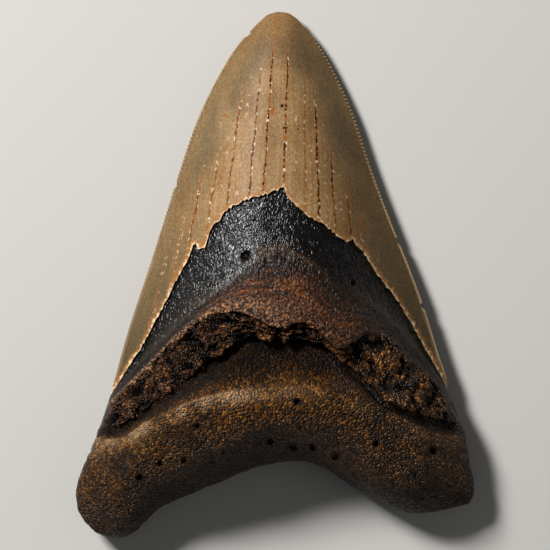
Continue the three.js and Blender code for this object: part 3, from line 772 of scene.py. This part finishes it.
ridged = add(
    nodes, "ShaderNodeMix", {0: add(nodes, "soft_step", [down, 0.45, 0.65]), 2: bark, 3: crumbly}, out=0,
    data_type="FLOAT",
)
bump = add(nodes, "ShaderNodeBump", {"Strength": 1.0, "Distance": 0.0002, "Height": ridged})
gloss = add(nodes, "soft_step", [down, 0.4, 0.7, 0.27, 0.45])
surface = {
    "Base Color": tone, "Roughness": gloss, "IOR": 1.55, "Specular IOR Level": 0.27, "Normal": bump,
}
shader = add(nodes, "ShaderNodeBsdfPrincipled", surface)
add(nodes, "ShaderNodeOutputMaterial", [shader])
put_on(tree, wrinkle_sizes, dentine)

# The torn face and the root. Below the lip the tooth is torn open into lumps over a deep crevice; the
# root is porous fossil bone, dull and granular, with nutrient pits. Its colours paint shade in the hollows
# of the torn face and a highlight along the shelf.
torn = (face == 1) * ease(row, 2.95, 3.12) * (1 - ease(row, 3.86, 3.98)) * ease(edge_gap, 0.4, 3)
rooted = np.where(face == -1, ease(row, LABIAL_ROOT_ROW, LABIAL_ROOT_ROW + 0.05), ease(row, 3.98, 4.25))
store("torn", torn)
store("rooted", rooted)
store("pit", pit)
root_sizes = {
    "Lump size": 3.6, "Lump height": 1.9, "Grain size": 0.9, "Grain height": 0.09, "Swell size": 9,
    "Swell height": 0.2, "Pore spacing": 3.4, "Pore radius": 0.55, "Pore depth": 0.45,
}
tree, entry = new_relief("torn_lumps_and_root_grain", root_sizes)
position = add(tree, "GeometryNodeInputPosition")
mm = add(tree, "ShaderNodeVectorMath", {0: position, 3: 1 / MILLIMETRE}, operation="SCALE")
torn_mask = add(tree, "GeometryNodeInputNamedAttribute", {"Name": "torn"})
root_mask = add(tree, "GeometryNodeInputNamedAttribute", {"Name": "rooted"})
lump_scale = add(tree, "DIVIDE", [1.0, entry["Lump size"]])
share_now = add(tree, "GeometryNodeInputNamedAttribute", {"Name": "share"})
row_now = add(tree, "GeometryNodeInputNamedAttribute", {"Name": "row_number"})
LUMP_ACROSS, LUMP_DOWN = 42.0, 19.0  # less than the width in mm, so that lumps are long along the rows
arc_x = add(tree, "MULTIPLY", [share_now, LUMP_ACROSS])
arc_y = add(tree, "MULTIPLY", [row_now, LUMP_DOWN])
arc = add(tree, "ShaderNodeCombineXYZ", [arc_x, arc_y])
lump = add(
    tree, "ShaderNodeTexNoise",
    {"Vector": arc, "Scale": lump_scale, "Detail": 4.0, "Roughness": 0.55, "Distortion": 0.9},
)
clod = add(
    tree, "ShaderNodeTexNoise", {"Vector": mm, "Scale": lump_scale, "Detail": 3.0, "Distortion": 0.8},
)
lump = add(tree, "MULTIPLY_ADD", [lump, 0.6, clod])
lump = add(tree, "ShaderNodeMapRange", [lump, 0.56, 1.04, -1.0, 1.0])
calmer = add(tree, "ShaderNodeMapRange", [share_now, 0.52, 0.74, 1.0, 0.6])
calmer = add(tree, "MULTIPLY", [calmer, torn_mask])
torn_lump = add(tree, "MULTIPLY", [lump, calmer])
torn_lump = add(tree, "MULTIPLY", [torn_lump, entry["Lump height"]])
grain_scale = add(tree, "DIVIDE", [1.0, entry["Grain size"]])
grain = add(tree, "ShaderNodeTexNoise", {"Vector": mm, "Scale": grain_scale, "Detail": 2.0})
grain = add(tree, "ShaderNodeMapRange", [grain, 0.3, 0.7, -1.0, 1.0])
grain = add(tree, "MULTIPLY", [grain, entry["Grain height"]])
swell_scale = add(tree, "DIVIDE", [1.0, entry["Swell size"]])
swell = add(tree, "ShaderNodeTexNoise", {"Vector": mm, "Scale": swell_scale, "Detail": 2.0})
swell = add(tree, "ShaderNodeMapRange", [swell, 0.3, 0.7, -1.0, 1.0])
swell = add(tree, "MULTIPLY_ADD", [swell, entry["Swell height"], grain])
pore_space = add(tree, "MULTIPLY", [entry["Pore spacing"], MILLIMETRE])
scatter = {
    0: entry["Geometry"], "Distance Min": pore_space, "Density Max": 90000.0, "Density Factor": root_mask,
    "Seed": 7,
}
pores = add(tree, "GeometryNodeDistributePointsOnFaces", scatter, distribute_method="POISSON")
pore_gap = add(
    tree, "GeometryNodeProximity", {0: pores, "Sample Position": position}, out="Distance",
    target_element="POINTS",
)
pore_gap = add(tree, "MULTIPLY", [pore_gap, 1 / MILLIMETRE])
vary = add(tree, "ShaderNodeTexNoise", {"Vector": mm, "Scale": 0.2})
vary = add(tree, "ShaderNodeMapRange", [vary, 0.4, 0.65, 0.25, 1.2])
pore_radius = add(tree, "MULTIPLY", [entry["Pore radius"], vary])
pore = add(tree, "soft_step", [pore_gap, 0.0, pore_radius, 1.0, 0.0])
pore = add(tree, "MULTIPLY", [pore, root_mask])
sunk = add(tree, "MULTIPLY", [pore, entry["Pore depth"]])
relief = add(tree, "SUBTRACT", [swell, sunk])
relief = add(tree, "MULTIPLY_ADD", [relief, root_mask, torn_lump])
relief = add(tree, "MULTIPLY", [relief, MILLIMETRE])
normal = add(tree, "GeometryNodeInputNormal")
offset = add(tree, "ShaderNodeVectorMath", {0: normal, 3: relief}, operation="SCALE")
kept = add(
    tree, "GeometryNodeStoreNamedAttribute", {0: entry["Geometry"], "Name": "lump", "Value": lump},
    data_type="FLOAT", domain="POINT",
)
kept = add(
    tree, "GeometryNodeStoreNamedAttribute", {0: kept, "Name": "pore", "Value": pore}, data_type="FLOAT",
    domain="POINT",
)
rough = add(tree, "GeometryNodeSetPosition", {0: kept, 3: offset})
close_relief(tree, entry, rough, ROOT)

# Porous fossil root: dull, grainy, rusty brown bone, near black in its pores. The crevice and neck are
# dark, partly by the neck's own colour and partly by painted shadow; painted shade fills the hollows of the
# torn face and painted highlight tops its lumps; a painted highlight runs along the shelf, and painted
# shade darkens the root towards its basal edge. The real grain is too fine to show, so it is drawn about
# half a millimetre wide.
root_bone, nodes, mm = new_material("porous_fossil_root")
row_number = add(nodes, "ShaderNodeAttribute", out="Fac", attribute_name="row_number")
lump = add(nodes, "ShaderNodeAttribute", out="Fac", attribute_name="lump")
pore = add(nodes, "ShaderNodeAttribute", out="Fac", attribute_name="pore")
pit = add(nodes, "ShaderNodeAttribute", out="Fac", attribute_name="pit")
across = add(nodes, "ShaderNodeAttribute", out="Fac", attribute_name="share")
GRAINS_PER_MM = 1.9
patch = add(nodes, "ShaderNodeTexNoise", {"Vector": mm, "Scale": 1 / 8, "Detail": 4.0, "Roughness": 0.6})
body_tone = add(
    nodes, "ShaderNodeValToRGB", [patch], stops=[(0.34, "#46321d"), (0.68, "#8d6531"), (0.5, "#6b4b22")],
)
torn_here = add(nodes, "soft_step", [row_number, 3.9, 4.0, 1.0, 0.0])
bared = add(nodes, "MULTIPLY", [torn_here, add(nodes, "soft_step", [across, 0.52, 0.74, 1.0, 0.3])])
body_tone = add(nodes, "blend", [bared, body_tone, "#684b37"])
cells = add(nodes, "ShaderNodeTexVoronoi", {"Vector": mm, "Scale": GRAINS_PER_MM}, out="Color")
cell = add(nodes, "ShaderNodeSeparateColor", [cells])
grain_tone = add(
    nodes, "ShaderNodeValToRGB", [cell],
    stops=[(0.0, "#0a0705"), (1.0, "#fff4dc"), (0.45, "#54422f"), (0.8, "#b8996c"), (0.92, "#ffe6ba")],
)
tone = add(nodes, "blend", [0.9, body_tone, grain_tone], blend_type="MULTIPLY")
# Painted highlight along the lit shelf edge, strongest on the left.
painted_shelf_highlight = add(
    nodes, "MULTIPLY",
    [
        add(nodes, "soft_step", [row_number, 4.9, 5.04]),
        add(nodes, "soft_step", [row_number, 5.06, 5.26, 1.9, 0.0]),
    ],
)
painted_shelf_highlight = add(nodes, "MULTIPLY", [painted_shelf_highlight, add(nodes, "soft_step", [across, 0.35, 0.6, 1.0, 0.2])])
# The crevice and neck are darker, partly by the neck's own near-black colour and partly by painted shadow
# in the crevice and under the lip; the painted shelf highlight is added to it.
neck_colour_and_painted_light = add(nodes, "ADD", [add(nodes, "soft_step", [row_number, 4.4, 5.0, 0.2, 1.0]), painted_shelf_highlight])
# Painted shade in the hollows of the torn face and painted highlight on its lumps.
painted_lump_light_and_shade = add(nodes, "soft_step", [lump, -0.45, 0.9, 0.05, 2.6])
# Painted shade: darker towards the basal edge, which faces away from the light.
neck_colour_and_painted_light = add(nodes, "MULTIPLY", [neck_colour_and_painted_light, add(nodes, "soft_step", [row_number, 5.4, 6.0, 1.0, 0.42])])
# The painted shelf highlight's paler grey-tan tint, in patches.
region_and_shelf_glare = add(nodes, "MULTIPLY", [painted_shelf_highlight, add(nodes, "soft_step", [patch, 0.4, 0.62, 0.02, 0.2])])
tone = add(nodes, "blend", [region_and_shelf_glare, tone, "#7d6c56"])
shade = add(nodes, "ShaderNodeMix", {0: torn_here, 2: neck_colour_and_painted_light, 3: painted_lump_light_and_shade}, out=0, data_type="FLOAT")
shade = add(nodes, "ShaderNodeCombineXYZ", [shade, shade, shade])
tone = add(nodes, "blend", [1.0, tone, shade], blend_type="MULTIPLY")
hole = add(nodes, "MAXIMUM", [pore, pit])
tone = add(nodes, "blend", [hole, tone, "#0b0705"])
sunk = add(nodes, "ShaderNodeTexVoronoi", {"Vector": mm, "Scale": GRAINS_PER_MM}, out="Distance")
bump = add(nodes, "ShaderNodeBump", {"Strength": 1.0, "Distance": 0.0007, "Height": sunk}, invert=True)
gloss = add(nodes, "ShaderNodeMapRange", [cell, 0.0, 1.0, 0.65, 0.3])
gloss = add(nodes, "ShaderNodeMix", {0: torn_here, 2: gloss, 3: 0.27}, out=0, data_type="FLOAT")
surface = {"Base Color": tone, "Roughness": gloss, "IOR": 1.5, "Specular IOR Level": 0.22, "Normal": bump}
shader = add(nodes, "ShaderNodeBsdfPrincipled", surface)
add(nodes, "ShaderNodeOutputMaterial", [shader])
put_on(tree, root_sizes, root_bone)

# The finished piece: the relief becomes plain mesh, smooth but for its broken edges, closed and resting
# on the floor.
graph = bpy.context.evaluated_depsgraph_get()
finished = bpy.data.meshes.new_from_object(
    tooth.evaluated_get(graph), preserve_all_data_layers=True, depsgraph=graph,
)
tooth.modifiers.clear()
tooth.data = finished
places = np.empty(3 * len(finished.vertices), np.float32)
finished.vertices.foreach_get("co", places)
places[2::3] = np.maximum(places[2::3], 0)
finished.vertices.foreach_set("co", places)
finished.polygons.foreach_set("use_smooth", np.ones(len(finished.polygons), bool))
finished.set_sharp_from_angle(angle=math.radians(50))
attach(tooth, "root")
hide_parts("tooth")

# The stage: a plain pale floor, a large soft key light from the upper left, a weak fill and a camera that
# looks straight down on the lingual face, as the photograph does.
floor_mesh = bpy.data.meshes.new("floor")
floor_mesh.from_pydata([(-3, -3, 0), (3, -3, 0), (3, 3, 0), (-3, 3, 0)], [], [(0, 1, 2, 3)])
floor = bpy.data.objects.new("floor", floor_mesh)
bpy.context.scene.collection.objects.link(floor)
paper = bpy.data.materials.new("matt_paper")
paper.use_nodes = True
paper.node_tree.nodes["Principled BSDF"].inputs["Base Color"].default_value = linear("#cfccc6")
paper.node_tree.nodes["Principled BSDF"].inputs["Roughness"].default_value = 0.9
floor_mesh.materials.append(paper)
world = bpy.data.worlds.new("studio")
world.use_nodes = True
world.node_tree.nodes["Background"].inputs["Color"].default_value = linear("#e8ebf0")
world.node_tree.nodes["Background"].inputs["Strength"].default_value = 0.09
bpy.context.scene.world = world
LIGHTS = [("key", (-0.55, 0.5, 0.66), 0.22, 13.5), ("fill", (0.7, -0.2, 0.7), 0.6, 0.4)]
for name, spot, size, power in LIGHTS:
    light = bpy.data.lights.new(name, "AREA")
    light.energy, light.size = power, size
    lamp = bpy.data.objects.new(name, light)
    lamp.location = spot
    lamp.rotation_euler = (-Vector(spot)).to_track_quat("-Z", "Y").to_euler()
    bpy.context.scene.collection.objects.link(lamp)
CAMERA_HEIGHT, EDGE_LEVEL, FRAME_WIDTH = 1.5, 0.006, 0.132
camera_data = bpy.data.cameras.new("camera")
camera_data.sensor_width = 36
camera_data.lens = 36 * (CAMERA_HEIGHT - EDGE_LEVEL) / FRAME_WIDTH
camera_data.clip_end = 20
camera = bpy.data.objects.new("camera", camera_data)
camera.location = (0, 0, CAMERA_HEIGHT)
bpy.context.scene.collection.objects.link(camera)
bpy.context.scene.camera = camera
bpy.context.scene.view_settings.view_transform = "Standard"
